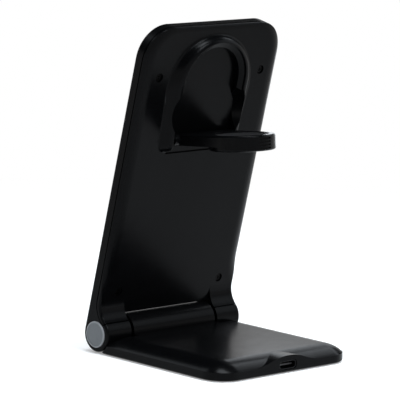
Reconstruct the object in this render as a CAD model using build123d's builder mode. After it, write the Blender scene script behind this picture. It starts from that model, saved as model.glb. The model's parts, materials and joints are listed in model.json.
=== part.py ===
import os
from math import acos, atan2, cos, degrees, hypot, radians, sin, sqrt

from build123d import *

# Folding charging stand, in millimetres.
# X runs along the hinge, +Y points to the rear edge with the socket, +Z is up.
# The origin is the middle of the anti-slip pad's underside, on the table.

# Base shell
width = 72.0
half_width = width / 2
base_length = 70.7
base_front = 4.0
base_corner = 10.0
underside = 0.4
wall_height = 3.2
base_height = 6.6
wall_top = underside + wall_height
base_top = underside + base_height
shoulder_width = 9.0
base_wall = 1.6
base_roof = 1.6
rim_chamfer = 0.4
cavity_front = 12.0
low_cavity_top = 2.9
high_cavity_inset = 7.0
hump_half = 19.0
hump_drop = 0.05
hump_crest = base_top - hump_drop
hump_bury = 2.0
hump_length = shoulder_width + hump_bury
piece_gap = 0.15
cut_margin = 1.0
pick_margin = 0.2

# Base plate, pad and screws
plate_bottom = 0.6
plate_thickness = 0.9
plate_top = plate_bottom + plate_thickness
pad_front = 13.0
pad_inset = 2.4
pad_corner = 8.0
base_screw_inset = 11.0
base_screw_x = half_width - base_screw_inset
base_screw_near = 17.0
boss_radius = 2.2
boss_bury = 0.2
screw_radius = 0.85
screw_clearance = 0.05
screw_head_radius = 1.6
screw_head_height = 0.5
screw_length = 3.4
slot_width = 0.5
slot_length = 2.0
slot_depth = 0.3
screw_tip_gap = 0.2

# Hinge
hinge_radius = 7.0
hinge_height = underside + hinge_radius
hinge_y = -(pad_front + base_length - pad_inset) / 2
lug_length = 12.7
lug_inner = half_width - lug_length
lug_gap = 1.4
barrel_half = lug_inner - lug_gap
barrel_fill = 2.0
lug_clearance = 0.5
notch_start = 7.1
notch_end = 10.1
notch_depth = 2.7
notch_lip = 0.2
notch_rise = 1.0
pin_radius = 2.0
pin_fit = 0.02
pin_running_fit = 0.06
pin_seat = 9.9
pin_inner = barrel_half - pin_seat
pin_tail = 0.2
bearing_length = 6.4
washer_x = lug_inner + bearing_length
washer_pocket = 3.6
washer_radius = 3.4
washer_thickness = 0.5
washer_gap = 0.1
washer_count = 3
nut_flats = 5.5
nut_height = 1.6
nut_x = washer_x + washer_gap + washer_count * (washer_thickness + washer_gap)
pin_outer = nut_x + nut_height + pin_tail
cap_radius = 5.2
cap_fit = 0.05
cap_depth = 1.4
cap_rise = 0.5
cap_chamfer = 0.2
cap_rim = 0.7
cap_dish = 0.15
cap_plug_length = 0.8

# Phone panel
panel_lean = 13.0
panel_height = 125.3
panel_corner = 13.0
panel_bottom = 7.35
front_offset = hinge_radius
rear_offset = 0.77
seam_offset = 3.0
seam_gap = 0.5
edge_round = 1.0
roll_width = 5.0
roll_drop = 1.48
roll_lift = 3.0
fade_top = 26.0
fade_radius = 20.0
fade_angle = 45.0
flare_radius = 8.8
root_top = 20.0
flare_seat = 5.8
seat_gap = 0.1
front_floor = 4.6
inner_ceiling = 2.3
tray_inset = 2.2
tray_bottom = 14.5
front_pad_inset = 3.2
front_pad_depth = 0.6
cover_cavity_bottom = 17.5
rear_screw_inset = 8.9
rear_screw_x = half_width - rear_screw_inset
rear_screw_drop = 19.8
rear_screw_high = panel_height - rear_screw_drop
rear_screw_low = 16.7
rear_boss_radius = 2.3
rear_screw_recess = 1.0
rear_recess_radius = 1.75
rear_screw_depth = 3.6

# Raised watch housing on the rear cover
rim_level = 2.8
pocket_radius = 16.1
pocket_drop = 22.4
pocket_center = panel_height - pocket_drop
pocket_length = 29.5
pocket_bottom = pocket_center - pocket_length
pocket_floor = -1.5
ledge_level = 1.9
ledge_depth = 1.1
ledge_bury = 0.2
well_radius = 14.0
rim_land = 1.7
rim_radius = pocket_radius + rim_land
rim_leg_lift = 2.5
rim_leg_end = pocket_bottom + rim_leg_lift
rim_leg_round = 3.2
foot_spread = 4.4
foot_radius = rim_radius + foot_spread
foot_drop = 26.2
foot_center = panel_height - foot_drop
foot_leg_spread = 2.7
foot_leg_half = rim_radius + foot_leg_spread
foot_leg_lift = 1.3
foot_leg_end = pocket_bottom + foot_leg_lift
foot_leg_round = 2.4
rim_round = 2.8
foot_round = 1.1
lip_round = 0.35
scoop_radius = 12.8
scoop_x = 8.0
scoop_drop = 11.9
scoop_center = pocket_center - scoop_drop
scoop_level = 8.4

# Watch arm
arm_pivot_lift = 6.3
arm_pivot_u = pocket_bottom + arm_pivot_lift
arm_pivot_v = 1.0
arm_lift = 5.0
arm_half_width = 13.0
arm_half_thickness = 2.2
disc_center = 22.7
disc_depth = 4.0
arm_top_round = 0.8
knuckle_gap = 0.4
knuckle_half = pocket_radius - knuckle_gap
heel_back = 2.6
heel_top = -0.3
puck_radius = 10.4
puck_fit = 0.2
puck_flange = 11.2
puck_roof = 0.9
puck_top = 2.0
puck_bottom = -0.3
puck_seat = 0.05
dish_depth = 1.0
arm_cavity = puck_flange + puck_fit
lid_plug = 0.2
lid_round = 0.9
arm_pin_radius = 0.9
arm_pin_fit = 0.02
arm_pin_running_fit = 0.05
arm_pin_seat = 0.6
arm_pin_inner = arm_half_width - arm_pin_seat
arm_pin_reach = 1.3
arm_pin_outer = pocket_radius + arm_pin_reach
arm_pin_end_gap = 0.2
arm_pin_hole_end = arm_pin_outer + arm_pin_end_gap
grip_width = 6.0
grip_depth = 0.8
grip_height = 0.6
grip_start = 0.9
grip_pitch = 1.25
grip_count = 3
lid_grip_level = grip_start - grip_count * grip_pitch

# Socket
port_lift = 2.8
port_height = underside + port_lift
port_width = 8.94
port_thickness = 3.26
port_corner = 1.5
port_wall = 0.3
port_clearance = 0.2
port_setback = 0.3
port_length = 7.9
tongue_width = 6.7
tongue_thickness = 0.7
tongue_length = 6.4

# Charging coils and boards
coil_thickness = 1.0
ferrite_thickness = 0.7
coil_margin = 1.0
board_thickness = 1.0
board_margin = 1.3
base_board_half = base_screw_x - boss_radius - board_margin
base_board_gap = 0.4
base_board_rear = base_length - high_cavity_inset - base_board_gap
base_board_length = 18.8
base_board_front = base_board_rear - base_board_length
base_screw_set = 8.5
base_screw_far = base_board_front + base_screw_set
board_post_radius = 1.4
board_post_inset = 2.4
earbud_center = (cavity_front + base_board_front) / 2
earbud_margin = 2.25
earbud_ferrite_radius = (base_board_front - cavity_front) / 2 - earbud_margin
earbud_coil_outer = earbud_ferrite_radius - coil_margin
earbud_coil_inner = 5.5
phone_center = 66.0
phone_coil_outer = 22.0
phone_coil_inner = 9.0
phone_ferrite_radius = phone_coil_outer + coil_margin
magnet_inner = 24.0
magnet_outer = 27.6
magnet_thickness = 1.5
magnet_count = 16
magnet_gap = 1.0
watch_ferrite_radius = 10.0
watch_ferrite_margin = 0.4
watch_coil_outer = watch_ferrite_radius - watch_ferrite_margin
watch_coil_inner = 4.6
watch_magnet_radius = 4.0
panel_board_gap = 4.8
panel_board_half = rear_screw_x - rear_boss_radius - panel_board_gap
panel_board_lift = 3.5
panel_board_low = tray_bottom + panel_board_lift
panel_board_top_gap = 2.4
panel_board_high = phone_center - magnet_outer - panel_board_top_gap
chip_size = 5.0
chip_spread = 19.0
chip_row = 5.5
part_width = 2.5
part_length = 4.0
part_spread = 14.0
part_row = 11.5

lean = radians(panel_lean)
lift = radians(arm_lift)
rear_normal = (0, cos(lean), -sin(lean))
hinge_point = (0, hinge_y, hinge_height)
hinge_axis = Axis(hinge_point, (1, 0, 0))
panel_plane = Plane(origin=hinge_point, x_dir=(-1, 0, 0), z_dir=rear_normal)
panel_axis = Axis(hinge_point, rear_normal)
hinge_section = Plane(origin=hinge_point, x_dir=(1, 0, 0), z_dir=(0, -1, 0))
rear_wall = Plane(origin=(0, hinge_y + base_length, 0), x_dir=(1, 0, 0), z_dir=(0, -1, 0))
shoulder_start = Plane(origin=(0, hinge_y + base_front, 0), x_dir=(1, 0, 0), z_dir=(0, -1, 0))
arm_point = panel_plane.from_local_coords((0, arm_pivot_u, arm_pivot_v))
arm_plane = Plane(origin=arm_point, x_dir=(1, 0, 0), z_dir=(0, -sin(lift), cos(lift)))
fade_point = panel_plane.from_local_coords((0, fade_top, 0))
fade_section = Plane(origin=fade_point, x_dir=(1, 0, 0), z_dir=(0, sin(lean), cos(lean)))
fade_center = panel_plane.from_local_coords((-half_width - fade_radius, fade_top, 0))
fade_axis = Axis(fade_center, (0, -cos(lean), sin(lean)))

flare_center_v = flare_radius - rear_offset
flare_center_u = sqrt((hinge_radius + flare_radius) ** 2 - flare_center_v**2)
flare_angle = atan2(flare_center_u, flare_center_v)

base_screw_points = [
    (base_screw_x, base_screw_near),
    (-base_screw_x, base_screw_near),
    (base_screw_x, base_screw_far),
    (-base_screw_x, base_screw_far),
]
rear_screw_points = [
    (rear_screw_x, rear_screw_high),
    (-rear_screw_x, rear_screw_high),
    (rear_screw_x, rear_screw_low),
    (-rear_screw_x, rear_screw_low),
]
board_post_x = base_board_half - board_post_inset
board_post_points = [
    (board_post_x, base_board_front + board_post_inset),
    (-board_post_x, base_board_front + board_post_inset),
    (board_post_x, base_board_rear - board_post_inset),
    (-board_post_x, base_board_rear - board_post_inset),
]


def base_level(z):
    return Plane(origin=(0, hinge_y, z))


def panel_level(v):
    return panel_plane.offset(v)


def side_section(x):
    return Plane(origin=(x, hinge_y, hinge_height), x_dir=rear_normal, z_dir=(1, 0, 0))


def upright_section(x):
    return Plane(origin=(x, hinge_y, hinge_height), x_dir=(0, 1, 0), z_dir=(1, 0, 0))


def polar(radius, angle):
    return (radius * cos(angle), radius * sin(angle))


def panel_place(shape):
    return panel_plane.to_local_coords(shape.center())


def is_panel_rim(edge):
    place = panel_place(edge)
    on_side = abs(abs(place.X) - half_width) < 0.01
    on_top = place.Y > panel_height - panel_corner + 0.01
    return on_side or on_top


def is_housing_foot(edge):
    place = panel_place(edge)
    on_cover = abs(place.Z + rear_offset) < 0.01
    near_housing = abs(place.X) < foot_radius + pick_margin
    between = foot_leg_end - pick_margin < place.Y < foot_center + foot_radius + pick_margin
    return on_cover and near_housing and between


def is_housing_rim(face):
    place = panel_place(face)
    return abs(place.Z - rim_level) < 0.01 and place.Y > pocket_bottom


def is_pocket_lip(edge):
    place = panel_place(edge)
    from_center = hypot(place.X, max(place.Y - pocket_center, 0))
    return place.Z > rim_level - lip_round and from_center < pocket_radius + 0.01


def base_outline(inset, front):
    with Locations((0, front)):
        Rectangle(width - 2 * inset, base_length - inset - front, align=(Align.CENTER, Align.MIN))
    fillet(vertices().group_by(Axis.Y)[-1], base_corner - inset)


def panel_outline(inset, bottom):
    with Locations((0, bottom)):
        Rectangle(width - 2 * inset, panel_height - inset - bottom, align=(Align.CENTER, Align.MIN))
    fillet(vertices().group_by(Axis.Y)[-1], panel_corner - inset)


def housing_outline(center, radius, leg_half, leg_end, leg_round):
    leg_x = leg_half - leg_round
    leg_y = leg_end + leg_round
    reach = hypot(leg_x, leg_y - center)
    turn = degrees(atan2(leg_y - center, leg_x) + acos((radius - leg_round) / reach))
    with BuildLine() as outline:
        crown = CenterArc((0, center), radius, turn, 180 - 2 * turn)
        left = CenterArc((-leg_x, leg_y), leg_round, 180 - turn, 90 + turn)
        right = CenterArc((leg_x, leg_y), leg_round, 270, 90 + turn)
        Line(crown @ 1, left @ 0)
        Line(left @ 1, right @ 0)
        Line(right @ 1, crown @ 0)
    make_face(outline.edges())


def pocket_outline(radius, mode=Mode.ADD):
    with Locations((0, pocket_center)):
        Circle(radius, mode=mode)
        Rectangle(2 * radius, pocket_length, align=(Align.CENTER, Align.MAX), mode=mode)


def cover_region(seam, seat, angle):
    inner = polar(seat, angle)
    with BuildLine() as region:
        bend = TangentArc((-seam, flare_center_u), inner, tangent=(0, -1))
        Polyline(
            bend @ 0,
            (-seam, panel_height + cut_margin),
            (2 * hinge_radius, panel_height + cut_margin),
            (2 * hinge_radius, 2 * hinge_radius * inner[1] / inner[0]),
            bend @ 1,
        )
    make_face(region.edges())


def cover_middle(seam):
    with Locations((-seam, 0)):
        Rectangle(seam + hinge_radius, flare_center_u, align=Align.MIN)


def roll_profile():
    roll_end = -rear_offset - roll_drop
    with BuildLine() as profile:
        roll = TangentArc((half_width - roll_width, -rear_offset), (half_width, roll_end), tangent=(1, 0))
        Polyline(
            roll @ 1,
            (half_width + cut_margin, roll_end),
            (half_width + cut_margin, cut_margin - rear_offset),
            (half_width - roll_width, cut_margin - rear_offset),
            roll @ 0,
        )
    make_face(profile.edges())


def board_chips(edge):
    with Locations((0, edge + chip_row)):
        with GridLocations(chip_spread, chip_spread, 2, 1):
            Rectangle(chip_size, chip_size)
    with Locations((0, edge + part_row)):
        with GridLocations(part_spread, part_spread, 3, 1):
            Rectangle(part_width, part_length)


# Base: one moulding with the rolled shoulders, the socket hump and the hinge barrel.
with BuildPart() as base_shell:
    with BuildSketch(base_level(underside)):
        base_outline(0, base_front)
    extrude(amount=base_height)
    chamfer(base_shell.edges().group_by(Axis.Z)[0], rim_chamfer)
    with BuildLine(base_level(wall_top)):
        FilletPolyline(
            (half_width, base_front),
            (half_width, base_length),
            (-half_width, base_length),
            (-half_width, base_front),
            radius=base_corner,
        )
    with BuildSketch(shoulder_start):
        with BuildLine():
            shoulder = TangentArc(
                (half_width - shoulder_width, base_top),
                (half_width, wall_top),
                tangent=(1, 0),
            )
            Polyline(
                shoulder @ 1,
                (half_width + cut_margin, wall_top),
                (half_width + cut_margin, base_top + cut_margin),
                (half_width - shoulder_width, base_top + cut_margin),
                shoulder @ 0,
            )
        make_face()
    sweep(mode=Mode.SUBTRACT)
    with BuildSketch(rear_wall):
        with BuildLine():
            hump_mid = (wall_top + hump_crest) / 2
            rise = TangentArc((-hump_half, wall_top), (-hump_half / 2, hump_mid), tangent=(1, 0))
            crown = TangentArc(rise @ 1, (0, hump_crest), tangent=rise % 1)
            crown_down = TangentArc(crown @ 1, (hump_half / 2, hump_mid), tangent=(1, 0))
            TangentArc(crown_down @ 1, (hump_half, wall_top), tangent=crown_down % 1)
            Line((hump_half, wall_top), (-hump_half, wall_top))
        make_face()
    extrude(amount=hump_length)
    with BuildSketch(upright_section(-barrel_half)):
        Circle(hinge_radius)
        Rectangle(hinge_radius, barrel_fill, align=(Align.MIN, Align.MAX))
    extrude(amount=2 * barrel_half)
    for side in (-1, 1):
        with BuildSketch(upright_section(side * barrel_half)):
            Circle(hinge_radius + lug_clearance)
            Polygon(
                (0, -notch_depth),
                (notch_start, -notch_depth),
                (notch_end, -notch_lip),
                (notch_end, notch_rise),
                (0, notch_rise),
                align=None,
            )
        extrude(amount=side * (lug_length + lug_gap + cut_margin), mode=Mode.SUBTRACT)
        with BuildSketch(upright_section(side * pin_inner)):
            Circle(pin_radius + pin_fit)
        extrude(amount=side * lug_length, mode=Mode.SUBTRACT)
    with BuildSketch(base_level(underside)):
        base_outline(base_wall, cavity_front)
    extrude(amount=low_cavity_top - underside, mode=Mode.SUBTRACT)
    with BuildSketch(base_level(underside)):
        base_outline(high_cavity_inset, cavity_front)
    extrude(amount=base_height - base_roof, mode=Mode.SUBTRACT)
    with BuildSketch(base_level(plate_top)):
        with Locations(*base_screw_points):
            Circle(boss_radius)
    extrude(amount=base_top - base_roof - plate_top + boss_bury)
    with BuildSketch(base_level(plate_top)):
        with Locations(*base_screw_points):
            Circle(screw_radius + screw_clearance)
    extrude(amount=plate_bottom + screw_length + screw_tip_gap - plate_top, mode=Mode.SUBTRACT)
    with BuildSketch(rear_wall):
        with Locations((0, port_height)):
            RectangleRounded(
                port_width + 2 * port_clearance,
                port_thickness + 2 * port_clearance,
                port_corner + port_clearance,
            )
    extrude(amount=high_cavity_inset + cut_margin, mode=Mode.SUBTRACT)

with BuildPart() as base_plate:
    with BuildSketch(base_level(plate_bottom)):
        base_outline(base_wall + piece_gap, cavity_front + piece_gap)
        with Locations(*base_screw_points):
            Circle(screw_radius + 2 * screw_clearance, mode=Mode.SUBTRACT)
    extrude(amount=plate_thickness)
    with BuildSketch(base_level(plate_bottom)):
        with Locations(*base_screw_points):
            Circle(screw_head_radius + piece_gap)
    extrude(amount=screw_head_height, mode=Mode.SUBTRACT)
    with BuildSketch(base_level(plate_top)):
        with Locations(*board_post_points):
            Circle(board_post_radius)
    extrude(amount=port_height - board_thickness / 2 - plate_top)

with BuildPart() as anti_slip_pad:
    with BuildSketch(base_level(0)):
        with Locations((0, pad_front)):
            Rectangle(
                width - 2 * pad_inset,
                base_length - pad_inset - pad_front,
                align=(Align.CENTER, Align.MIN),
            )
        fillet(vertices().group_by(Axis.Y)[-1], pad_corner)
        fillet(vertices().group_by(Axis.Y)[0], pad_corner / 4)
    extrude(amount=plate_bottom)

with BuildPart() as base_screws:
    with BuildSketch(base_level(plate_bottom)):
        with Locations(*base_screw_points):
            Circle(screw_head_radius)
    extrude(amount=screw_head_height)
    with BuildSketch(base_level(plate_bottom + screw_head_height)):
        with Locations(*base_screw_points):
            Circle(screw_radius)
    extrude(amount=screw_length - screw_head_height)
    with BuildSketch(base_level(plate_bottom)):
        with Locations(*base_screw_points):
            Rectangle(slot_length, slot_width)
            Rectangle(slot_width, slot_length)
    extrude(amount=slot_depth, mode=Mode.SUBTRACT)

# Socket and the parts under the base's roof
with BuildPart() as usb_c_shell:
    with BuildSketch(rear_wall.offset(port_setback)):
        with Locations((0, port_height)):
            RectangleRounded(port_width, port_thickness, port_corner)
    extrude(amount=port_length)
    with BuildSketch(rear_wall.offset(port_setback)):
        with Locations((0, port_height)):
            RectangleRounded(
                port_width - 2 * port_wall,
                port_thickness - 2 * port_wall,
                port_corner - port_wall,
            )
    extrude(amount=port_length - port_wall, mode=Mode.SUBTRACT)

with BuildPart() as usb_c_tongue:
    with BuildSketch(rear_wall.offset(port_setback + port_length - port_wall)):
        with Locations((0, port_height)):
            Rectangle(tongue_width, tongue_thickness)
    extrude(amount=-tongue_length)
    chamfer(usb_c_tongue.faces().sort_by(Axis.Y)[-1].edges(), tongue_thickness / 5)

with BuildPart() as base_circuit_board:
    with BuildSketch(base_level(port_height - board_thickness / 2)):
        with Locations((0, base_board_front)):
            Rectangle(
                2 * base_board_half,
                base_board_rear - base_board_front,
                align=(Align.CENTER, Align.MIN),
            )
        with Locations((0, base_length - port_setback - port_length - piece_gap)):
            Rectangle(
                port_width + 2 * piece_gap,
                port_length,
                align=(Align.CENTER, Align.MIN),
                mode=Mode.SUBTRACT,
            )
    extrude(amount=board_thickness)
    with BuildSketch(base_level(port_height + board_thickness / 2)):
        board_chips(base_board_front)
    extrude(amount=board_thickness)

with BuildPart() as earbud_coil:
    with BuildSketch(base_level(base_top - base_roof)):
        with Locations((0, earbud_center)):
            Circle(earbud_coil_outer)
            Circle(earbud_coil_inner, mode=Mode.SUBTRACT)
    extrude(amount=-coil_thickness)

with BuildPart() as earbud_ferrite:
    with BuildSketch(base_level(base_top - base_roof - coil_thickness)):
        with Locations((0, earbud_center)):
            Circle(earbud_ferrite_radius)
    extrude(amount=-ferrite_thickness)

# Friction hinge: fixed pins with a washer stack and a nut in each lug
with BuildPart() as hinge_pins:
    for side in (-1, 1):
        with BuildSketch(upright_section(side * pin_inner)):
            Circle(pin_radius)
        extrude(amount=side * (pin_outer - pin_inner))

with BuildPart() as hinge_washers:
    for side in (-1, 1):
        for index in range(washer_count):
            washer_start = washer_x + washer_gap + index * (washer_thickness + washer_gap)
            with BuildSketch(upright_section(side * washer_start)):
                Circle(washer_radius)
                Circle(pin_radius + pin_fit, mode=Mode.SUBTRACT)
            extrude(amount=side * washer_thickness)

with BuildPart() as hinge_nuts:
    for side in (-1, 1):
        with BuildSketch(upright_section(side * nut_x)):
            RegularPolygon(nut_flats / 2, 6, major_radius=False)
            Circle(pin_radius + pin_fit, mode=Mode.SUBTRACT)
        extrude(amount=side * nut_height)

# Rolled edge of the phone panel's rear, shallow along the top and running out sideways above the lugs
with BuildPart() as edge_roll:
    with BuildLine(panel_plane):
        FilletPolyline(
            (-half_width, fade_top),
            (-half_width, panel_height + roll_lift),
            (half_width, panel_height + roll_lift),
            (half_width, fade_top),
            radius=panel_corner + roll_lift,
        )
    with BuildSketch(fade_section):
        roll_profile()
    sweep()
    with BuildSketch(fade_section):
        roll_profile()
    revolve(axis=fade_axis, revolution_arc=fade_angle)
    mirror(about=Plane.YZ)

# Outer form of the phone panel with its two hinge lugs, parted below into front and rear
with BuildPart() as panel_form:
    with BuildSketch(panel_level(-front_offset)):
        panel_outline(0, panel_bottom)
    extrude(amount=front_offset - rear_offset)
    for side in (-1, 1):
        with BuildSketch(side_section(side * lug_inner)):
            with BuildLine():
                back = Line((-rear_offset, root_top), (-rear_offset, flare_center_u))
                flare = TangentArc(back @ 1, polar(hinge_radius, flare_angle), tangent=back % 1)
                knuckle = ThreePointArc(flare @ 1, (0, -hinge_radius), (-front_offset, 0))
                Polyline(knuckle @ 1, (-front_offset, root_top), back @ 0)
            make_face()
        extrude(amount=side * lug_length)
    rim_edges = panel_form.edges().filter_by(panel_axis, reverse=True).filter_by(is_panel_rim)
    fillet(rim_edges, edge_round)
    add(edge_roll.part, mode=Mode.SUBTRACT)

rear_head_bottom = -rear_offset - rear_screw_recess
rear_tip = rear_head_bottom - rear_screw_depth + screw_head_height
seam_side = seam_offset - seam_gap
seam_angle = flare_angle - seam_gap / hinge_radius

with BuildPart() as panel_front_housing:
    add(panel_form.part)
    with BuildSketch(side_section(-half_width - cut_margin)):
        cover_region(seam_offset, flare_seat - seat_gap, seam_angle)
    extrude(amount=width + 2 * cut_margin, mode=Mode.SUBTRACT)
    with BuildSketch(side_section(-lug_inner)):
        cover_middle(seam_offset)
    extrude(amount=2 * lug_inner, mode=Mode.SUBTRACT)
    with BuildSketch(hinge_section):
        with Locations((lug_inner - cut_margin, 0)):
            Rectangle(lug_length, pin_radius + pin_running_fit, align=Align.MIN)
        with Locations((washer_x, 0)):
            Rectangle(lug_length, washer_pocket, align=Align.MIN)
        with Locations((half_width - cap_depth, 0)):
            Rectangle(lug_length, cap_radius + cap_fit, align=Align.MIN)
        mirror(about=Plane.YZ)
    revolve(axis=hinge_axis, mode=Mode.SUBTRACT)
    with BuildSketch(panel_level(-front_floor)):
        panel_outline(tray_inset, tray_bottom)
    extrude(amount=front_floor, mode=Mode.SUBTRACT)
    with BuildSketch(panel_level(-front_floor)):
        with Locations(*rear_screw_points):
            Circle(rear_boss_radius)
    extrude(amount=front_floor - seam_offset)
    with BuildSketch(panel_level(-seam_offset)):
        with Locations(*rear_screw_points):
            Circle(screw_radius + screw_clearance)
    extrude(amount=rear_tip - screw_tip_gap + seam_offset, mode=Mode.SUBTRACT)
    with BuildSketch(panel_level(-front_offset)):
        panel_outline(front_pad_inset, panel_bottom + front_pad_inset)
    extrude(amount=front_pad_depth, mode=Mode.SUBTRACT)

with BuildPart() as panel_front_pad:
    with BuildSketch(panel_level(-front_offset)):
        panel_outline(front_pad_inset + piece_gap, panel_bottom + front_pad_inset + piece_gap)
    extrude(amount=front_pad_depth)

# Sloping ledge round the upper part of the watch pocket
with BuildPart() as pocket_ledge:
    with BuildSketch(panel_level(pocket_floor - ledge_bury)):
        pocket_outline(pocket_radius + ledge_bury)
        pocket_outline(well_radius, Mode.SUBTRACT)
        with Locations((0, scoop_center)):
            Rectangle(4 * pocket_radius, pocket_length, align=(Align.CENTER, Align.MAX), mode=Mode.SUBTRACT)
    extrude(amount=ledge_level - pocket_floor + ledge_bury)
    with BuildSketch(panel_level(ledge_level - ledge_depth)):
        pocket_outline(well_radius)
    with BuildSketch(panel_level(ledge_level)):
        pocket_outline(pocket_radius + ledge_bury)
    loft(ruled=True, mode=Mode.SUBTRACT)

# Hollow left by a fingertip on each leg of the housing
with BuildPart() as finger_scoops:
    with Locations(panel_plane):
        with Locations((scoop_x, scoop_center, scoop_level), (-scoop_x, scoop_center, scoop_level)):
            Sphere(scoop_radius)
    split(bisect_by=panel_level(pocket_floor), keep=Keep.TOP)

# Space behind the seam, which bends along the flares and runs straight down between the lugs
with BuildPart() as cover_space:
    with BuildSketch(side_section(-half_width - cut_margin)):
        cover_region(seam_side, flare_seat, flare_angle)
    extrude(amount=width + 2 * cut_margin)
    with BuildSketch(side_section(-lug_inner + piece_gap)):
        cover_middle(seam_side)
    extrude(amount=2 * (lug_inner - piece_gap))

# Rear cover: flares down to the lugs, raised horseshoe housing with the watch pocket
with BuildPart() as rear_cover:
    add(panel_form.part)
    add(cover_space.part, mode=Mode.INTERSECT)
    with BuildSketch(panel_level(-seam_side)):
        panel_outline(tray_inset, cover_cavity_bottom)
    extrude(amount=seam_side - inner_ceiling, mode=Mode.SUBTRACT)
    with BuildSketch(panel_level(-inner_ceiling)):
        with Locations(*rear_screw_points):
            Circle(rear_boss_radius)
    extrude(amount=inner_ceiling - seam_offset)
    with BuildSketch(panel_level(-rear_offset)):
        housing_outline(foot_center, foot_radius, foot_leg_half, foot_leg_end, foot_leg_round)
    with BuildSketch(panel_level(rim_level)):
        housing_outline(pocket_center, rim_radius, rim_radius, rim_leg_end, rim_leg_round)
    loft(ruled=True)
    fillet(rear_cover.edges().filter_by(is_housing_foot), foot_round)
    fillet(rear_cover.faces().filter_by(is_housing_rim).edges(), rim_round)
    with BuildSketch(panel_level(pocket_floor)):
        pocket_outline(pocket_radius)
    extrude(amount=2 * rim_level - pocket_floor, mode=Mode.SUBTRACT)
    fillet(rear_cover.edges().filter_by(is_pocket_lip), lip_round)
    add(pocket_ledge.part)
    add(finger_scoops.part, mode=Mode.SUBTRACT)
    with Locations(panel_level(-rear_offset)):
        with Locations(*rear_screw_points):
            CounterBoreHole(
                screw_radius + 2 * screw_clearance,
                rear_recess_radius,
                rear_screw_recess,
                depth=seam_offset,
            )
    for side in (-1, 1):
        with BuildSketch(side_section(side * (pocket_radius - cut_margin))):
            with Locations((arm_pivot_v, arm_pivot_u)):
                Circle(arm_pin_radius + arm_pin_running_fit)
        extrude(amount=side * (arm_pin_hole_end - pocket_radius + cut_margin), mode=Mode.SUBTRACT)

with BuildPart() as rear_cover_screws:
    with BuildSketch(panel_level(rear_head_bottom)):
        with Locations(*rear_screw_points):
            Circle(screw_head_radius)
    extrude(amount=screw_head_height)
    with BuildSketch(panel_level(rear_head_bottom)):
        with Locations(*rear_screw_points):
            Circle(screw_radius)
    extrude(amount=rear_tip - rear_head_bottom)
    with BuildSketch(panel_level(rear_head_bottom + screw_head_height)):
        with Locations(*rear_screw_points):
            Rectangle(slot_length, slot_width)
            Rectangle(slot_width, slot_length)
    extrude(amount=-slot_depth, mode=Mode.SUBTRACT)


def cap_profile(side):
    seat_x = half_width - cap_depth
    rim_x = half_width + cap_rise
    with BuildLine() as profile:
        Polyline(
            (side * (seat_x - cap_plug_length), 0),
            (side * (seat_x - cap_plug_length), washer_radius),
            (side * seat_x, washer_radius),
            (side * seat_x, cap_radius),
            (side * (rim_x - cap_chamfer), cap_radius),
            (side * rim_x, cap_radius - cap_chamfer),
            (side * rim_x, cap_radius - cap_rim),
            (side * (rim_x - cap_dish), cap_radius - cap_rim - cap_dish),
            (side * (rim_x - cap_dish), 0),
            close=True,
        )
    make_face(profile.edges())


with BuildPart() as hinge_cap_left:
    with BuildSketch(hinge_section):
        cap_profile(1)
    revolve(axis=hinge_axis)

with BuildPart() as hinge_cap_right:
    with BuildSketch(hinge_section):
        cap_profile(-1)
    revolve(axis=hinge_axis)

# Phone charging parts between tray and rear cover
with BuildPart() as phone_coil:
    with BuildSketch(panel_level(-front_floor)):
        with Locations((0, phone_center)):
            Circle(phone_coil_outer)
            Circle(phone_coil_inner, mode=Mode.SUBTRACT)
    extrude(amount=coil_thickness)

with BuildPart() as phone_ferrite:
    with BuildSketch(panel_level(coil_thickness - front_floor)):
        with Locations((0, phone_center)):
            Circle(phone_ferrite_radius)
    extrude(amount=ferrite_thickness)

with BuildPart() as phone_magnets:
    with BuildSketch(panel_level(-front_floor)):
        with Locations((0, phone_center)):
            Circle(magnet_outer)
            Circle(magnet_inner, mode=Mode.SUBTRACT)
            with PolarLocations(0, magnet_count // 2, angular_range=180):
                Rectangle(3 * magnet_outer, magnet_gap, mode=Mode.SUBTRACT)
    extrude(amount=magnet_thickness)

with BuildPart() as panel_circuit_board:
    with BuildSketch(panel_level(-front_floor)):
        with Locations((0, panel_board_low)):
            Rectangle(
                2 * panel_board_half,
                panel_board_high - panel_board_low,
                align=(Align.CENTER, Align.MIN),
            )
    extrude(amount=board_thickness)
    with BuildSketch(panel_level(board_thickness - front_floor)):
        board_chips(panel_board_low)
    extrude(amount=board_thickness)

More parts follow.
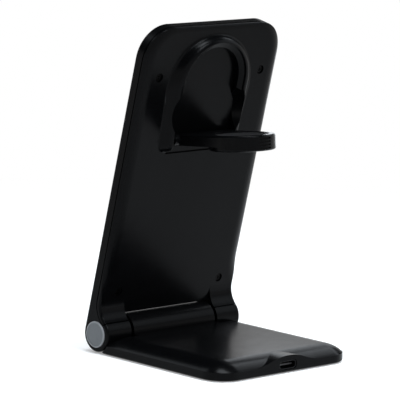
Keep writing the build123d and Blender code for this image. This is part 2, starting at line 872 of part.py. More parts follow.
# Watch arm: paddle with a dished puck, thicker under the round end
with BuildPart() as arm_housing:
    with BuildSketch(arm_plane.offset(-arm_half_thickness)):
        with Locations((0, disc_center)):
            Circle(arm_half_width)
            Rectangle(2 * arm_half_width, disc_center, align=(Align.CENTER, Align.MAX))
    extrude(amount=2 * arm_half_thickness)
    arm_axis = Axis(arm_point, arm_plane.z_dir)
    fillet(arm_housing.faces().sort_by(arm_axis)[-1].edges(), arm_top_round)
    with BuildSketch(arm_plane.offset(-arm_half_thickness)):
        Rectangle(2 * arm_half_width, heel_back, align=(Align.CENTER, Align.MAX))
    extrude(amount=heel_top + arm_half_thickness)
    with BuildSketch(side_section(-knuckle_half)):
        with Locations((arm_pivot_v, arm_pivot_u)):
            Circle(arm_half_thickness)
    extrude(amount=2 * knuckle_half)
    with BuildSketch(arm_plane.offset(-arm_half_thickness)):
        with Locations((0, disc_center)):
            Circle(arm_cavity)
    extrude(amount=arm_half_thickness + puck_roof, mode=Mode.SUBTRACT)
    with BuildSketch(arm_plane):
        with Locations((0, disc_center)):
            Circle(puck_radius + puck_fit)
    extrude(amount=2 * arm_half_thickness, mode=Mode.SUBTRACT)
    for side in (-1, 1):
        with BuildSketch(side_section(side * arm_pin_inner)):
            with Locations((arm_pivot_v, arm_pivot_u)):
                Circle(arm_pin_radius + arm_pin_fit)
        extrude(amount=side * arm_half_width, mode=Mode.SUBTRACT)
    for index in range(grip_count):
        grip_level = grip_start - index * grip_pitch
        with BuildSketch(arm_plane.offset(grip_level - grip_height / 2)):
            with Locations((0, disc_center + arm_half_width - grip_depth)):
                Rectangle(grip_width, grip_width, align=(Align.CENTER, Align.MIN))
        extrude(amount=grip_height, mode=Mode.SUBTRACT)

with BuildPart() as arm_lower_cover:
    with BuildSketch(arm_plane.offset(-disc_depth)):
        with Locations((0, disc_center)):
            Circle(arm_half_width)
    extrude(amount=disc_depth - arm_half_thickness)
    fillet(arm_lower_cover.faces().sort_by(arm_axis)[0].edges(), lid_round)
    with BuildSketch(arm_plane.offset(-arm_half_thickness)):
        with Locations((0, disc_center)):
            Circle(puck_flange)
    extrude(amount=lid_plug)
    with BuildSketch(arm_plane.offset(lid_grip_level - grip_height / 2)):
        with Locations((0, disc_center + arm_half_width - grip_depth)):
            Rectangle(grip_width, grip_width, align=(Align.CENTER, Align.MIN))
    extrude(amount=grip_height, mode=Mode.SUBTRACT)

disc_point = arm_plane.from_local_coords((0, disc_center, 0))
disc_section = Plane(origin=disc_point, x_dir=(1, 0, 0), z_dir=(0, -cos(lift), -sin(lift)))
disc_axis = Axis(disc_point, arm_plane.z_dir)
with BuildPart() as watch_puck:
    with BuildSketch(disc_section):
        with BuildLine():
            TangentArc((0, puck_top - dish_depth), (puck_radius, puck_top), tangent=(1, 0))
            Polyline(
                (puck_radius, puck_top),
                (puck_radius, puck_roof - puck_seat),
                (puck_flange, puck_roof - puck_seat),
                (puck_flange, puck_bottom),
                (0, puck_bottom),
                (0, puck_top - dish_depth),
            )
        make_face()
    revolve(axis=disc_axis)

with BuildPart() as watch_coil:
    with BuildSketch(arm_plane.offset(puck_bottom)):
        with Locations((0, disc_center)):
            Circle(watch_coil_outer)
            Circle(watch_coil_inner, mode=Mode.SUBTRACT)
    extrude(amount=-coil_thickness)

with BuildPart() as watch_magnet:
    with BuildSketch(arm_plane.offset(puck_bottom)):
        with Locations((0, disc_center)):
            Circle(watch_magnet_radius)
    extrude(amount=-coil_thickness)

with BuildPart() as watch_ferrite:
    with BuildSketch(arm_plane.offset(puck_bottom - coil_thickness)):
        with Locations((0, disc_center)):
            Circle(watch_ferrite_radius)
    extrude(amount=-ferrite_thickness)

with BuildPart() as arm_pins:
    for side in (-1, 1):
        with BuildSketch(side_section(side * arm_pin_inner)):
            with Locations((arm_pivot_v, arm_pivot_u)):
                Circle(arm_pin_radius)
        extrude(amount=side * (arm_pin_outer - arm_pin_inner))

pieces = {
    "base_shell": base_shell,
    "base_plate": base_plate,
    "anti_slip_pad": anti_slip_pad,
    "base_screws": base_screws,
    "usb_c_shell": usb_c_shell,
    "usb_c_tongue": usb_c_tongue,
    "base_circuit_board": base_circuit_board,
    "earbud_coil": earbud_coil,
    "earbud_ferrite": earbud_ferrite,
    "hinge_pins": hinge_pins,
    "hinge_washers": hinge_washers,
    "hinge_nuts": hinge_nuts,
    "panel_front_housing": panel_front_housing,
    "panel_front_pad": panel_front_pad,
    "rear_cover": rear_cover,
    "rear_cover_screws": rear_cover_screws,
    "hinge_cap_left": hinge_cap_left,
    "hinge_cap_right": hinge_cap_right,
    "phone_coil": phone_coil,
    "phone_ferrite": phone_ferrite,
    "phone_magnets": phone_magnets,
    "panel_circuit_board": panel_circuit_board,
    "arm_housing": arm_housing,
    "arm_lower_cover": arm_lower_cover,
    "watch_puck": watch_puck,
    "watch_coil": watch_coil,
    "watch_ferrite": watch_ferrite,
    "watch_magnet": watch_magnet,
    "arm_pins": arm_pins,
}

os.makedirs("parts", exist_ok=True)
for name, piece in pieces.items():
    piece.part.label = name
    export_step(piece.part, f"parts/{name}.step")
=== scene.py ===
import json
import math
import bpy
from mathutils import Matrix, Vector


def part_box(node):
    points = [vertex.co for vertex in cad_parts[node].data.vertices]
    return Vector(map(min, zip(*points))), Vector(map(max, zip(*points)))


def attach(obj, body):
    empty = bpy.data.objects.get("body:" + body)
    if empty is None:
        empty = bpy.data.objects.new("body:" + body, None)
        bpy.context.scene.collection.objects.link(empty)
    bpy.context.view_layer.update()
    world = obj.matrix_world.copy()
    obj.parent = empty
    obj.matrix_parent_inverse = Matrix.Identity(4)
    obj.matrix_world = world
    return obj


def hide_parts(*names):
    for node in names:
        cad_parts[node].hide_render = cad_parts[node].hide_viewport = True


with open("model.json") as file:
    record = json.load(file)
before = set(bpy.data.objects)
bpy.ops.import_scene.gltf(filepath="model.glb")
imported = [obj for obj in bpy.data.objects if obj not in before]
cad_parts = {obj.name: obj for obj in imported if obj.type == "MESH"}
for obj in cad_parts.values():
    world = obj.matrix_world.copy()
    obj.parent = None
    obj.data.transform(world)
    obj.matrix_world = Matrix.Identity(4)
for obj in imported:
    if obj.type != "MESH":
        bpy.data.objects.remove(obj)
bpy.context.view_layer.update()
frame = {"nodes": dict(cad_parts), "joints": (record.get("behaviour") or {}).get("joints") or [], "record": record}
print("frame loaded, nodes:", len(frame["nodes"]))


# a socket that takes part in Python expressions; add() makes any other node in the same tree
class Wire:
    def __init__(self, tree, socket=None):
        self.tree = tree
        self.socket = socket

    def add(self, kind, settings=None, inputs=None, output=0):
        node = self.tree.nodes.new(kind)
        for name, value in (settings or {}).items():
            setattr(node, name, value)
        for name, value in (inputs or {}).items():
            if isinstance(value, Wire):
                self.tree.links.new(value.socket, node.inputs[name])
            else:
                node.inputs[name].default_value = value
        return Wire(self.tree, node.outputs[output])

    def other(self, output):
        return Wire(self.tree, self.socket.node.outputs[output])

    def math(self, operation, a, b=0.0):
        return self.add("ShaderNodeMath", {"operation": operation}, {0: a, 1: b})

    def __add__(self, other):
        return self.math("ADD", self, other)

    def __radd__(self, other):
        return self.math("ADD", other, self)

    def __sub__(self, other):
        return self.math("SUBTRACT", self, other)

    def __rsub__(self, other):
        return self.math("SUBTRACT", other, self)

    def __mul__(self, other):
        return self.math("MULTIPLY", self, other)

    def __rmul__(self, other):
        return self.math("MULTIPLY", other, self)

    def over(self, other):
        return self.math("MAXIMUM", self, other)

    def ramp(self, low, high):
        settings = {"interpolation_type": "SMOOTHSTEP"}
        return self.add("ShaderNodeMapRange", settings, {"Value": self, "From Min": low, "From Max": high})


def newFinish(name, fixed):
    finish = bpy.data.materials.new(name)
    finish.use_nodes = True
    shader = finish.node_tree.nodes["Principled BSDF"]
    for socket, value in fixed.items():
        shader.inputs[socket].default_value = value
    return finish, Wire(finish.node_tree), shader


def feed(wire, shader, socket):
    wire.tree.links.new(wire.socket, shader.inputs[socket])


def objectPoint(root):
    return root.add("ShaderNodeTexCoord", output="Object")


def noise(root, point, scale, detail=2.0, rough=0.5):
    inputs = {"Vector": point, "Scale": scale, "Detail": detail, "Roughness": rough}
    return root.add("ShaderNodeTexNoise", {}, inputs)


def blendColours(root, factor, first, second):
    values = {"Factor": factor, 6: first if isinstance(first, Wire) else (*first, 1),
              7: second if isinstance(second, Wire) else (*second, 1)}
    return root.add("ShaderNodeMix", {"data_type": "RGBA"}, values, 2)


mouldedPlastic = {
    "satinBlack": {"dark": (0.0010, 0.0011, 0.0013), "light": (0.0020, 0.0021, 0.0024), "rough": 0.24,
                   "spread": 0.10, "grain": 5200, "bump": 0.05, "specular": 0.053},
    "softBlack": {"dark": (0.0075, 0.0075, 0.0078), "light": (0.0115, 0.0115, 0.012), "rough": 0.58,
                  "spread": 0.10, "grain": 4200, "bump": 0.08, "specular": 0.12},
    "padRubber": {"dark": (0.012, 0.012, 0.012), "light": (0.020, 0.020, 0.020), "rough": 0.75,
                  "spread": 0.12, "grain": 2600, "bump": 0.20, "specular": 0.2},
    "tongueGrey": {"dark": (0.020, 0.020, 0.021), "light": (0.032, 0.032, 0.034), "rough": 0.45,
                   "spread": 0.1, "grain": 3000, "bump": 0.05, "specular": 0.3},
    "boardGreen": {"dark": (0.012, 0.10, 0.035), "light": (0.02, 0.15, 0.055), "rough": 0.35, "spread": 0.1,
                   "grain": 1800, "bump": 0.05, "specular": 0.5},
    "ferriteGrey": {"dark": (0.045, 0.045, 0.048), "light": (0.07, 0.07, 0.074), "rough": 0.6, "spread": 0.15,
                    "grain": 2400, "bump": 0.15, "specular": 0.4},
}
barMetal = {
    "plainSteel": {"dark": (0.48, 0.48, 0.49), "light": (0.62, 0.62, 0.63), "rough": 0.28, "spread": 0.14},
    "socketSteel": {"dark": (0.018, 0.018, 0.019), "light": (0.032, 0.032, 0.034), "rough": 0.38,
                    "spread": 0.14},
    # black steel for the screws and dark steel parts; on the arm pins the same black is painted shade
    "blackSteelAndPaintedShade": {"dark": (0.002, 0.002, 0.002), "light": (0.005, 0.005, 0.005), "rough": 0.40,
                       "spread": 0.14},
    "woundCopper": {"dark": (0.55, 0.22, 0.09), "light": (0.76, 0.36, 0.16), "rough": 0.32, "spread": 0.12},
    "nickelPlate": {"dark": (0.55, 0.53, 0.49), "light": (0.66, 0.64, 0.60), "rough": 0.24, "spread": 0.10},
}
capPaint = {
    "centre": (0, 0.04065, -0.0074), "rimStart": 0.00462, "rimEnd": 0.00474,
    "face": (0.135, 0.148, 0.158), "faceDark": (0.115, 0.127, 0.137), "rim": (0.25, 0.26, 0.275),
    "faceRough": 0.42, "rimRough": 0.30, "spread": 0.12, "specular": 0.35, "bump": 0.05,
}
patternScale = {"cloud": 38, "handled": 160, "brushed": 3000, "tarnish": 220, "capCloud": 600, "turned": 9000}
brushing = {"stretch": (0.05, 1, 1), "bump": 0.06}
bumpDepth = {"plastic": 0.00005, "metal": 0.00003}
finishes = {}


def makePlastic(name, look):
    finish, root, shader = newFinish(name, {"Specular IOR Level": look["specular"], "IOR": 1.5})
    point = objectPoint(root)
    cloud = noise(root, point, patternScale["cloud"], detail=3)
    grain = noise(root, point, look["grain"])
    handled = noise(root, point, patternScale["handled"], detail=4, rough=0.6)
    feed(blendColours(root, cloud, look["dark"], look["light"]), shader, "Base Color")
    feed(look["rough"] + (handled - 0.5) * look["spread"], shader, "Roughness")
    relief = {"Strength": look["bump"], "Distance": bumpDepth["plastic"], "Height": grain}
    feed(root.add("ShaderNodeBump", {}, relief), shader, "Normal")
    finishes[name] = finish


def makeMetal(name, look):
    finish, root, shader = newFinish(name, {"Metallic": 1.0})
    point = objectPoint(root)
    stretched = root.add("ShaderNodeMapping", {}, {"Vector": point, "Scale": brushing["stretch"]})
    brushed = noise(root, stretched, patternScale["brushed"], detail=3)
    tarnish = noise(root, point, patternScale["tarnish"], detail=3)
    feed(blendColours(root, tarnish, look["dark"], look["light"]), shader, "Base Color")
    feed(look["rough"] + (brushed - 0.5) * look["spread"], shader, "Roughness")
    relief = {"Strength": brushing["bump"], "Distance": bumpDepth["metal"], "Height": brushed}
    feed(root.add("ShaderNodeBump", {}, relief), shader, "Normal")
    finishes[name] = finish


# painted cap: grey face with a paler turned rim
def makeCapFinish(look):
    finish, root, shader = newFinish("capGrey", {"Specular IOR Level": look["specular"]})
    point = objectPoint(root)
    aboutHinge = {"Vector": point, "Location": look["centre"], "Scale": (0, 1, 1)}
    flat = root.add("ShaderNodeMapping", {}, aboutHinge)
    radius = root.add("ShaderNodeVectorMath", {"operation": "LENGTH"}, {0: flat}, "Value")
    rim = radius.ramp(look["rimStart"], look["rimEnd"])
    cloud = noise(root, point, patternScale["capCloud"], detail=3)
    turned = noise(root, root.add("ShaderNodeCombineXYZ", {}, {"X": radius}), patternScale["turned"])
    face = blendColours(root, cloud, look["faceDark"], look["face"])
    feed(blendColours(root, rim, face, look["rim"]), shader, "Base Color")
    rough = look["faceRough"] + rim * (look["rimRough"] - look["faceRough"])
    feed(rough + (turned - 0.5) * look["spread"], shader, "Roughness")
    relief = {"Strength": look["bump"], "Distance": bumpDepth["metal"], "Height": turned}
    feed(root.add("ShaderNodeBump", {}, relief), shader, "Normal")
    finishes["capGrey"] = finish


for name, look in mouldedPlastic.items():
    makePlastic(name, look)
for name, look in barMetal.items():
    makeMetal(name, look)
makeCapFinish(capPaint)

slotFinish = {
    "black_plastic": "satinBlack", "soft_black": "softBlack", "black_rubber": "padRubber",
    "grey_plastic": "capGrey", "steel": "plainSteel", "dark_steel": "blackSteelAndPaintedShade",
    "copper": "woundCopper", "ferrite": "ferriteGrey", "nickel": "nickelPlate", "green_board": "boardGreen",
}
# the arm pins take the black steel as painted shade: it stands for the shadow in the gap at the arm's knuckle
nodeFinish = {"arm_pins": "blackSteelAndPaintedShade"}
for part in frame["record"]["subparts"]:
    mesh = frame["nodes"][part["node"]].data
    mesh.materials.clear()
    mesh.materials.append(finishes[nodeFinish.get(part["node"], slotFinish[part["material_slot"]])])
print("finishes made:", len(finishes))

panelHinge, armHinge = frame["joints"]
restAngles = {"panelLean": math.radians(13), "armLift": math.radians(5)}


# a drawing plane: its origin and the directions of its x and y
def drawingPlane(origin, right, rise):
    right, rise = Vector(right), Vector(rise)
    return Matrix.Translation(origin) @ Matrix((right, rise, right.cross(rise))).transposed().to_4x4()


lean, lift = restAngles["panelLean"], restAngles["armLift"]
basePlane = Matrix.Identity(4)
panelPlane = drawingPlane(panelHinge["pos_m"], (-1, 0, 0), (0, math.sin(lean), math.cos(lean)))
armPlane = drawingPlane(armHinge["pos_m"], (1, 0, 0), (0, math.cos(lift), math.sin(lift)))


def startBlock(name, low, high):
    bpy.ops.object.select_all(action="DESELECT")
    middle = [(a + b) / 2 for a, b in zip(low, high)]
    bpy.ops.mesh.primitive_cube_add(size=1, location=middle, scale=[b - a for a, b in zip(low, high)])
    bpy.ops.object.transform_apply(location=True, rotation=True, scale=True)
    bpy.context.object.name = name
    return bpy.context.object


def startRound(name, radius, low, high, sides):
    bpy.ops.object.select_all(action="DESELECT")
    middle = (0, 0, (low + high) / 2)
    bpy.ops.mesh.primitive_cylinder_add(vertices=sides, radius=radius, depth=high - low, location=middle)
    bpy.ops.object.transform_apply(location=True, rotation=True, scale=True)
    bpy.context.object.name = name
    return bpy.context.object


# edit mode with only the faces or edges whose middle and direction pass the test
def pick(piece, kind, test):
    bpy.ops.object.mode_set(mode="EDIT")
    bpy.ops.mesh.select_mode(type=kind)
    bpy.ops.mesh.select_all(action="DESELECT")
    bpy.ops.object.mode_set(mode="OBJECT")
    if kind == "FACE":
        for face in piece.data.polygons:
            face.select = test(face.center, face.normal)
    else:
        corners = piece.data.vertices
        for edge in piece.data.edges:
            start, end = (corners[index].co for index in edge.vertices)
            edge.select = test((start + end) / 2, (end - start).normalized())
    bpy.ops.object.mode_set(mode="EDIT")


def roundEdges(piece, radius, steps, test):
    pick(piece, "EDGE", test)
    bpy.ops.mesh.bevel(offset=radius, segments=steps, affect="EDGES")
    bpy.ops.object.mode_set(mode="OBJECT")


shaping = {"matchGap": 0.00002, "facing": 0.9, "flat": 0.999, "smoothAngle": math.radians(38)}


def near(value, target):
    return abs(value - target) < shaping["matchGap"]


def isUpright(along):
    return abs(along.z) > shaping["facing"]


# sunk line round the picked face, with sloping sides
def sinkGroove(look):
    bpy.ops.mesh.inset(thickness=look["grooveInset"])
    bpy.ops.mesh.inset(thickness=look["grooveWidth"] / 4, depth=-look["grooveDepth"])
    bpy.ops.mesh.inset(thickness=look["grooveWidth"] / 2)
    bpy.ops.mesh.inset(thickness=look["grooveWidth"] / 4, depth=look["grooveDepth"])


def settle(piece, plane, body, finish, node=None):
    if bpy.context.object.mode == "EDIT":
        bpy.ops.object.mode_set(mode="OBJECT")
    bpy.ops.object.select_all(action="DESELECT")
    piece.select_set(True)
    bpy.context.view_layer.objects.active = piece
    piece.matrix_world = plane
    bpy.ops.object.transform_apply(location=True, rotation=True, scale=True)
    bpy.ops.object.shade_smooth_by_angle(angle=shaping["smoothAngle"])
    piece.data.materials.clear()
    piece.data.materials.append(finishes[finish])
    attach(piece, body)
    if node:
        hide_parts(node)


def joinParts(parts):
    bpy.ops.object.select_all(action="DESELECT")
    for part in parts:
        part.select_set(True)
    bpy.context.view_layer.objects.active = parts[0]
    bpy.ops.object.join()


def ownCopy(piece, name):
    twin = piece.copy()
    twin.data = piece.data.copy()
    twin.name = name
    bpy.context.scene.collection.objects.link(twin)
    return twin


footPad = {
    "rearCorner": 0.008, "frontCorner": 0.002, "edgeRound": 0.0002, "border": 0.0012, "fieldSlope": 0.0003,
    "fieldDepth": 0.0002, "ribs": 9, "ribWidth": 0.0030, "ribMargin": 0.0060, "ribRound": 0.0008,
    "ribEdge": 0.0001, "rearSteps": 14, "frontSteps": 6, "edgeSteps": 4, "ribSteps": 5, "ribEdgeSteps": 3,
}


def makeFootPad(look):
    low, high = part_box("anti_slip_pad")
    pad = startBlock("rubberFootPad", low, high)

    def atRear(middle, along):
        return isUpright(along) and middle.y > 0

    def atFront(middle, along):
        return isUpright(along) and near(middle.y, low[1])

    roundEdges(pad, look["rearCorner"], look["rearSteps"], atRear)
    roundEdges(pad, look["frontCorner"], look["frontSteps"], atFront)
    roundEdges(pad, look["edgeRound"], look["edgeSteps"], lambda middle, along: near(middle.z, low[2]))
    pick(pad, "FACE", lambda middle, normal: normal.z < -shaping["flat"])
    bpy.ops.mesh.inset(thickness=look["border"])
    bpy.ops.mesh.inset(thickness=look["fieldSlope"], depth=-look["fieldDepth"])
    bpy.ops.object.mode_set(mode="OBJECT")
    reach = high[0] - look["ribMargin"]
    pitch = (high[1] - low[1] - 2 * look["ribMargin"]) / (look["ribs"] - 1)
    parts = [pad]
    for index in range(look["ribs"]):   # grip ribs stand on the sunk field, level with the border
        y = low[1] + look["ribMargin"] + index * pitch
        start = (-reach, y - look["ribWidth"] / 2, low[2])
        rib = startBlock("gripRib", start, (reach, y + look["ribWidth"] / 2, high[2] / 2))
        roundEdges(rib, look["ribRound"], look["ribSteps"], lambda middle, along: isUpright(along))
        roundEdges(rib, look["ribEdge"], look["ribEdgeSteps"], lambda middle, along: near(middle.z, low[2]))
        parts.append(rib)
    joinParts(parts)
    settle(pad, basePlane, "base", "padRubber", "anti_slip_pad")


phoneRest = {
    "halfWidth": 0.03265, "bottom": 0.0107, "top": 0.12195, "face": -0.0070, "back": -0.0064,
    "topCorner": 0.00965, "bottomCorner": 0.0022, "edgeRound": 0.0003,
    "grooveInset": 0.0008, "grooveWidth": 0.0008, "grooveDepth": 0.00018,
    "topSteps": 16, "bottomSteps": 5, "edgeSteps": 4,
}


def makePhoneRest(look):
    low = (-look["halfWidth"], look["bottom"], look["face"])
    rest = startBlock("softPhoneRest", low, (look["halfWidth"], look["top"], look["back"]))

    def atTop(middle, along):
        return isUpright(along) and near(middle.y, look["top"])

    def atBottom(middle, along):
        return isUpright(along) and near(middle.y, low[1])

    roundEdges(rest, look["topCorner"], look["topSteps"], atTop)
    roundEdges(rest, look["bottomCorner"], look["bottomSteps"], atBottom)
    roundEdges(rest, look["edgeRound"], look["edgeSteps"], lambda middle, along: near(middle.z, look["face"]))
    pick(rest, "FACE", lambda middle, normal: normal.z < -shaping["flat"])
    sinkGroove(look)
    settle(rest, panelPlane, "phone_panel", "softBlack", "panel_front_pad")


watchRest = {
    "reach": 0.0227, "flange": 0.0112, "radius": 0.0104, "underside": -0.0003, "step": 0.00085,
    "crest": 0.0020, "dish": 0.0010, "rings": 12, "rimRound": 0.00035, "sides": 96, "rimSteps": 5,
    "rimShare": 0.99,
}


def makeWatchRest(look):
    crest, radius = look["crest"], look["radius"]

    def onRim(middle, along):
        return near(middle.z, crest) and middle.xy.length > radius * look["rimShare"]

    rest = startRound("dishedWatchRest", look["flange"], look["underside"], look["step"], look["sides"])
    pick(rest, "FACE", lambda middle, normal: normal.z > shaping["facing"])
    bpy.ops.mesh.inset(thickness=look["flange"] - radius)
    bpy.ops.mesh.extrude_region_move(TRANSFORM_OT_translate={"value": (0, 0, look["crest"] - look["step"])})
    for ring in range(look["rings"] - 1):   # sinks as the square of the radius
        outer = 1 - ring / look["rings"]
        inner = outer - 1 / look["rings"]
        bpy.ops.mesh.inset(thickness=radius / look["rings"], depth=look["dish"] * (inner**2 - outer**2))
    roundEdges(rest, look["rimRound"], look["rimSteps"], onRim)
    plane = armPlane @ Matrix.Translation((0, look["reach"], 0))
    settle(rest, plane, "watch_arm", "softBlack", "watch_puck")


endCap = {
    "seat": 0.0346, "radius": 0.0052, "height": 0.0019, "land": 0.0007, "sink": 0.00015, "crown": 0.00008,
    "rings": 6, "rimRound": 0.0003, "lipRound": 0.00006, "plugRadius": 0.0034, "plugLength": 0.0008,
    "sides": 128, "rimSteps": 6, "lipSteps": 3, "rimShare": 0.98,
}


def makeEndCaps(look):
    radius, height = look["radius"], look["height"]

    def onRim(middle, along):
        return near(middle.z, height) and middle.xy.length > radius * look["rimShare"]

    def onLip(middle, along):
        return near(middle.z, height) and near(middle.xy.length, radius - look["land"])

    cap = startRound("endCapLeft", radius, 0, height, look["sides"])
    pick(cap, "FACE", lambda middle, normal: normal.z > shaping["facing"])
    bpy.ops.mesh.inset(thickness=look["land"])
    bpy.ops.mesh.inset(thickness=look["sink"], depth=-look["sink"])
    span = radius - look["land"] - look["sink"]
    for ring in range(look["rings"] - 1):   # a face that stands a little proud in the middle
        bpy.ops.mesh.inset(thickness=span / look["rings"], depth=look["crown"] / look["rings"])
    pick(cap, "FACE", lambda middle, normal: normal.z < -shaping["facing"])
    bpy.ops.mesh.inset(thickness=radius - look["plugRadius"])
    bpy.ops.mesh.extrude_region_move(TRANSFORM_OT_translate={"value": (0, 0, -look["plugLength"])})
    roundEdges(cap, look["rimRound"], look["rimSteps"], onRim)
    roundEdges(cap, look["lipRound"], look["lipSteps"], onLip)
    twin = ownCopy(cap, "endCapRight")
    y, z = panelHinge["pos_m"][1:]
    left = drawingPlane((look["seat"], y, z), (0, 1, 0), (0, 0, 1))
    right = drawingPlane((-look["seat"], y, z), (0, 0, 1), (0, 1, 0))
    settle(cap, left, "phone_panel", "capGrey", "hinge_cap_left")
    settle(twin, right, "phone_panel", "capGrey", "hinge_cap_right")


coverScrew = {
    "columns": (-0.0271, 0.0271), "rows": (0.0167, 0.1055), "seat": -0.00177, "headRadius": 0.0016,
    "headHeight": 0.0005, "headRound": 0.00028, "shankRadius": 0.00085, "shankLength": 0.0031,
    "crossLength": 0.0020, "crossWidth": 0.00046, "crossDepth": 0.00034, "crossTaper": 0.62,
    "sides": 48, "headSteps": 5,
}


def makeCoverScrews(look):
    seat, top = look["seat"], look["seat"] + look["headHeight"]
    screw = startRound("coverScrew", look["headRadius"], seat, top, look["sides"])
    pick(screw, "FACE", lambda middle, normal: normal.z < -shaping["facing"])
    bpy.ops.mesh.inset(thickness=look["headRadius"] - look["shankRadius"])
    bpy.ops.mesh.extrude_region_move(TRANSFORM_OT_translate={"value": (0, 0, -look["shankLength"])})
    roundEdges(screw, look["headRound"], look["headSteps"], lambda middle, along: near(middle.z, top))
    sizes = (look["crossLength"] / 2, look["crossWidth"] / 2)
    for x, y in (sizes, sizes[::-1]):   # two tapered bars cut the driver recess
        bar = startBlock("driverBar", (-x, -y, top - look["crossDepth"]), (x, y, top + look["crossDepth"]))
        pick(bar, "FACE", lambda middle, normal: normal.z < -shaping["facing"])
        bpy.ops.transform.resize(value=(look["crossTaper"], look["crossTaper"], 1))
        bpy.ops.object.mode_set(mode="OBJECT")
        bpy.context.view_layer.objects.active = screw
        cut = screw.modifiers.new("driverRecess", "BOOLEAN")
        cut.operation = "DIFFERENCE"
        cut.object = bar
        bpy.ops.object.modifier_apply(modifier=cut.name)
        bpy.data.objects.remove(bar)
    spots = [(x, y) for x in look["columns"] for y in look["rows"]]
    screws = [screw] + [ownCopy(screw, "coverScrew") for spot in spots[1:]]
    for number, (piece, (x, y)) in enumerate(zip(screws, spots), 1):
        piece.name = f"coverScrew{number}"
        plane = panelPlane @ Matrix.Translation((x, y, 0))
        settle(piece, plane, "phone_panel", "blackSteelAndPaintedShade", "rear_cover_screws")


portShell = {"corner": 0.0015, "wall": 0.0003, "rimRound": 0.0001, "cornerSteps": 10, "rimSteps": 4}
portTongue = {
    "noseRound": 0.00014, "contacts": 12, "pitch": 0.0005, "contactWidth": 0.00026, "contactLength": 0.0036,
    "contactSetback": 0.0006, "contactRise": 0.00004, "contactBury": 0.00004, "contactRound": 0.00002,
    "noseSteps": 4, "contactSteps": 2,
}


def makePort(shellLook, tongueLook):
    def alongDepth(middle, along):
        return abs(along.y) > shaping["facing"]

    look = shellLook
    low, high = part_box("usb_c_shell")
    shell = startBlock("portShell", low, high)
    roundEdges(shell, look["corner"], look["cornerSteps"], alongDepth)
    pick(shell, "FACE", lambda middle, normal: normal.y > shaping["facing"])
    bpy.ops.mesh.inset(thickness=look["wall"])
    hollow = low[1] + look["wall"] - high[1]
    bpy.ops.mesh.extrude_region_move(TRANSFORM_OT_translate={"value": (0, hollow, 0)})
    roundEdges(shell, look["rimRound"], look["rimSteps"], lambda middle, along: near(middle.y, high[1]))
    settle(shell, basePlane, "base", "socketSteel", "usb_c_shell")

    look = tongueLook
    low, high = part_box("usb_c_tongue")
    tongue = startBlock("portTongue", low, high)
    roundEdges(tongue, look["noseRound"], look["noseSteps"], lambda middle, along: near(middle.y, high[1]))
    settle(tongue, basePlane, "base", "tongueGrey", "usb_c_tongue")

    strips = []
    front = high[1] - look["contactSetback"]
    for level, rise in ((high[2], 1), (low[2], -1)):
        heights = sorted((level - rise * look["contactBury"], level + rise * look["contactRise"]))
        for index in range(look["contacts"]):
            x = (index - (look["contacts"] - 1) / 2) * look["pitch"]
            start = (x - look["contactWidth"] / 2, front - look["contactLength"], heights[0])
            strip = startBlock("contactStrip", start, (x + look["contactWidth"] / 2, front, heights[1]))
            roundEdges(strip, look["contactRound"], look["contactSteps"], alongDepth)
            strips.append(strip)
    joinParts(strips)
    strips[0].name = "portContacts"
    settle(strips[0], basePlane, "base", "nickelPlate")


makeFootPad(footPad)
makePhoneRest(phoneRest)
makeWatchRest(watchRest)
makeEndCaps(endCap)
makeCoverScrews(coverScrew)
makePort(portShell, portTongue)
print("pieces modelled")

studio = {
    "floorSize": 8.0, "floorDrop": -0.00005, "floorShade": (0.80, 0.80, 0.80), "floorLift": 0.25,
    "whiteFrom": 0.10, "whiteTo": 0.45,
    "worldLight": 0.3, "horizonTop": 0.18, "ceilingFrom": 0.32, "ceilingShade": 0.05,
    "lamps": [
        {"name": "topSoftbox", "place": (-0.03, 0.14, 1.12), "size": (0.32, 0.62), "power": 9.0},
        {"name": "frontSoftbox", "place": (-0.06, 0.72, 0.82), "size": (0.34, 0.34), "power": 5.0},
        {"name": "leftSoftbox", "place": (1.30, 0.10, 0.60), "size": (0.9, 0.9), "power": 2.0},
        {"name": "backSoftbox", "place": (0.28, -0.75, 0.80), "size": (0.5, 0.5), "power": 2.0},
        {"name": "rightSoftbox", "place": (-0.82, -0.17, 0.70), "size": (0.45, 0.30), "power": 1.7},
        {"name": "sideSoftbox", "place": (-0.95, 0.48, 0.62), "size": (0.9, 0.5), "power": 2.4},
        {"name": "rearCard", "place": (-0.16, -0.096, 0.095), "size": (0.09, 0.075), "power": 0.04},
    ],
    "lampTint": (0.88, 0.94, 1.0), "aim": (0.0, -0.01, 0.06),
}


def seenRays(root):
    path = root.add("ShaderNodeLightPath", output="Is Camera Ray")
    return path.over(path.other("Is Glossy Ray")).over(path.other("Is Transmission Ray"))


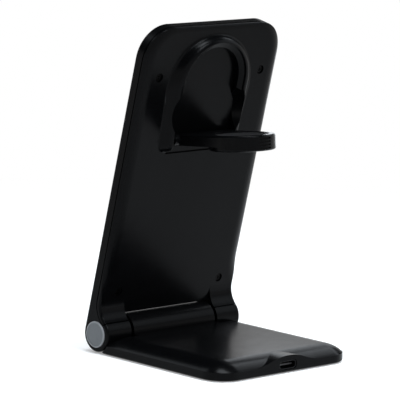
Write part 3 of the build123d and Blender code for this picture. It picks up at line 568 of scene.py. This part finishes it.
def makeStudio(look):
    bpy.ops.object.select_all(action="DESELECT")
    bpy.ops.mesh.primitive_plane_add(size=look["floorSize"], location=(0, 0, look["floorDrop"]))
    floor = bpy.context.object
    floor.name = "studioFloor"
    paper = bpy.data.materials.new("studioPaper")
    paper.use_nodes = True
    tree = paper.node_tree
    tree.nodes.remove(tree.nodes["Principled BSDF"])
    root = Wire(tree)
    matt = root.add("ShaderNodeBsdfDiffuse", {}, {"Color": (*look["floorShade"], 1)})
    lift = root.add("ShaderNodeEmission", {}, {"Color": (1, 1, 1, 1), "Strength": look["floorLift"]})
    white = root.add("ShaderNodeEmission", {}, {"Color": (1, 1, 1, 1), "Strength": 1.0})
    lifted = root.add("ShaderNodeAddShader", {}, {0: matt, 1: lift})
    away = root.add("ShaderNodeVectorMath", {"operation": "LENGTH"}, {0: objectPoint(root)}, "Value")
    whiter = away.ramp(look["whiteFrom"], look["whiteTo"])
    sweep = root.add("ShaderNodeMixShader", {}, {0: whiter, 1: lifted, 2: white})
    shown = root.add("ShaderNodeMixShader", {}, {0: seenRays(root), 1: matt, 2: sweep})
    tree.links.new(shown.socket, tree.nodes["Material Output"].inputs["Surface"])
    floor.data.materials.append(paper)

    world = bpy.data.worlds.new("studioWorld")
    world.use_nodes = True
    bpy.context.scene.world = world
    root = Wire(world.node_tree)
    sky = world.node_tree.nodes["Background"]
    sky.inputs["Color"].default_value = (1, 1, 1, 1)
    rise = root.add("ShaderNodeSeparateXYZ", {}, {0: root.add("ShaderNodeTexCoord", output="Generated")}, "Z")
    fade = rise.ramp(look["horizonTop"], look["ceilingFrom"]) * (1 - look["ceilingShade"])
    feed(seenRays(root) * (1 - fade - look["worldLight"]) + look["worldLight"], sky, "Strength")

    for lamp in look["lamps"]:
        light = bpy.data.lights.new(lamp["name"], "AREA")
        light.shape = "RECTANGLE"
        light.size, light.size_y = lamp["size"]
        light.energy = lamp["power"]
        light.color = look["lampTint"]
        holder = bpy.data.objects.new(lamp["name"], light)
        bpy.context.scene.collection.objects.link(holder)
        holder.location = lamp["place"]
        holder.visible_camera = False
        aim = Vector(look["aim"]) - holder.location
        holder.rotation_euler = aim.to_track_quat("-Z", "Y").to_euler()


makeStudio(studio)
print("studio set")

viewpoint = {
    "place": (0.8200, 0.83355, 0.24952),
    "right": (-0.72470, 0.68844, 0.02944),
    "up": (-0.08771, -0.13453, 0.98702),
    "lens": 275.35, "sensor": 36.0, "farthest": 20.0,
}


def makeCamera(look):
    camera = bpy.data.cameras.new("photoCamera")
    camera.lens = look["lens"]
    camera.sensor_width = look["sensor"]
    camera.clip_end = look["farthest"]
    holder = bpy.data.objects.new("photoCamera", camera)
    bpy.context.scene.collection.objects.link(holder)
    right = Vector(look["right"]).normalized()
    up = Vector(look["up"])
    up = (up - right * up.dot(right)).normalized()
    back = right.cross(up)
    turn = Matrix((right, up, back)).transposed().to_4x4()
    holder.matrix_world = Matrix.Translation(look["place"]) @ turn
    bpy.context.scene.camera = holder


makeCamera(viewpoint)
bpy.context.scene.view_settings.view_transform = "Standard"
print("camera set")
